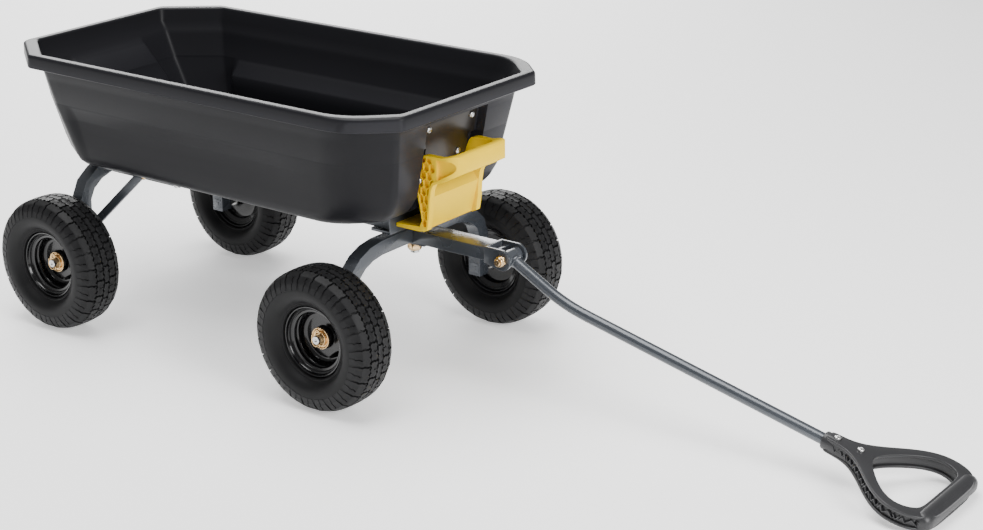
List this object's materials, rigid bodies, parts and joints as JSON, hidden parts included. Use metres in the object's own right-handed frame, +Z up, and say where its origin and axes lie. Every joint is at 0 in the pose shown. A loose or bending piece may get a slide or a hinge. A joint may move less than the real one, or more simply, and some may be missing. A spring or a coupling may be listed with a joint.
{
  "type": "dump cart",
  "caption": "Four-wheeled garden cart with a moulded tub that tips back on a steel frame, a steered front axle, a latch lever and a D-grip pull handle.",
  "frame": {"origin": "on the ground, below the middle of the bounding box", "axes": "+X forward towards the handle's grip, +Y to the cart's left, +Z up"},
  "size_m": [1.8446, 0.597, 0.521],
  "materials": {
    "tub_poly": "black moulded polyethylene with a fine satin grain",
    "frame_paint": "slate grey semi-gloss powder coat on steel tube and plate",
    "bracket_steel": "dark bronze-black satin coated sheet steel",
    "lever_yellow": "bright yellow satin moulded nylon",
    "grip_black": "black moulded polypropylene with a fine matt grain",
    "tyre_rubber": "black tyre rubber with block tread and smooth sidewalls",
    "rim_gloss": "gloss black painted pressed steel",
    "zinc": "bright zinc plated steel",
    "yellow_zinc": "yellow passivated zinc plated steel"
  },
  "bodies": {
    "frame": {"rear_arch": "frame_paint", "rail_left": "frame_paint", "rail_right": "frame_paint", "support_pan": "frame_paint", "brace_left": "frame_paint", "brace_right": "frame_paint", "front_plate": "frame_paint", "hinge_rod": "zinc", "axle_rear_left": "zinc", "washer_rear_left": "yellow_zinc", "cotter_pin_rear_left": "yellow_zinc", "axle_rear_right": "zinc", "washer_rear_right": "yellow_zinc", "cotter_pin_rear_right": "yellow_zinc"},
    "tub": {"tub": "tub_poly", "lever_bracket": "bracket_steel", "plate_bolt_1": "zinc", "plate_bolt_2": "zinc", "plate_bolt_3": "zinc", "plate_bolt_4": "zinc", "lever_rod": "zinc", "tub_hinge_left": "frame_paint", "tub_hinge_right": "frame_paint"},
    "lever": {"latch_lever": "lever_yellow", "lever_spring": "zinc"},
    "steering": {"front_arch": "frame_paint", "thrust_washer": "zinc", "kingpin": "zinc", "kingpin_nut": "yellow_zinc", "tongue": "frame_paint", "clevis": "frame_paint", "axle_front_left": "zinc", "washer_front_left": "yellow_zinc", "cotter_pin_front_left": "yellow_zinc", "axle_front_right": "zinc", "washer_front_right": "yellow_zinc", "cotter_pin_front_right": "yellow_zinc"},
    "handle": {"clevis_bolt": "yellow_zinc", "clevis_nut": "yellow_zinc", "handle_tube": "frame_paint", "grip": "grip_black", "grip_bolt_1": "zinc", "grip_bolt_2": "zinc"},
    "wheel_front_left": {"tyre_front_left": "tyre_rubber", "rim_front_left": "rim_gloss", "bearing_outer_front_left": "zinc", "bearing_inner_front_left": "zinc"},
    "wheel_front_right": {"tyre_front_right": "tyre_rubber", "rim_front_right": "rim_gloss", "bearing_outer_front_right": "zinc", "bearing_inner_front_right": "zinc"},
    "wheel_rear_left": {"tyre_rear_left": "tyre_rubber", "rim_rear_left": "rim_gloss", "bearing_outer_rear_left": "zinc", "bearing_inner_rear_left": "zinc"},
    "wheel_rear_right": {"tyre_rear_right": "tyre_rubber", "rim_rear_right": "rim_gloss", "bearing_outer_rear_right": "zinc", "bearing_inner_rear_right": "zinc"}
  },
  "joints": [
    {"name": "tub_dump", "type": "hinge", "parent": "frame", "child": "tub", "pos_m": [-0.81429, 0, 0.284], "axis": [0, -1, 0], "range_deg": [0, 50]},
    {"name": "lever_release", "type": "hinge", "parent": "tub", "child": "lever", "pos_m": [-0.05729, 0, 0.375], "axis": [0, -1, 0], "range_deg": [0, 15], "stiffness_Nm_per_rad": 1.5, "springref_deg": -17.19},
    {"name": "steer", "type": "hinge", "parent": "frame", "child": "steering", "pos_m": [-0.13029, 0, 0.265], "axis": [0, 0, 1], "range_deg": [-45, 45]},
    {"name": "handle_lift", "type": "hinge", "parent": "steering", "child": "handle", "pos_m": [0.08071, 0, 0.243], "axis": [0, -1, 0], "range_deg": [0, 100]},
    {"name": "spin_front_left", "type": "hinge", "parent": "steering", "child": "wheel_front_left", "pos_m": [-0.13029, 0.2515, 0.127], "axis": [0, 1, 0], "continuous": true},
    {"name": "spin_front_right", "type": "hinge", "parent": "steering", "child": "wheel_front_right", "pos_m": [-0.13029, -0.2515, 0.127], "axis": [0, 1, 0], "continuous": true},
    {"name": "spin_rear_left", "type": "hinge", "parent": "frame", "child": "wheel_rear_left", "pos_m": [-0.79029, 0.2515, 0.127], "axis": [0, 1, 0], "continuous": true},
    {"name": "spin_rear_right", "type": "hinge", "parent": "frame", "child": "wheel_rear_right", "pos_m": [-0.79029, -0.2515, 0.127], "axis": [0, 1, 0], "continuous": true}
  ]
}
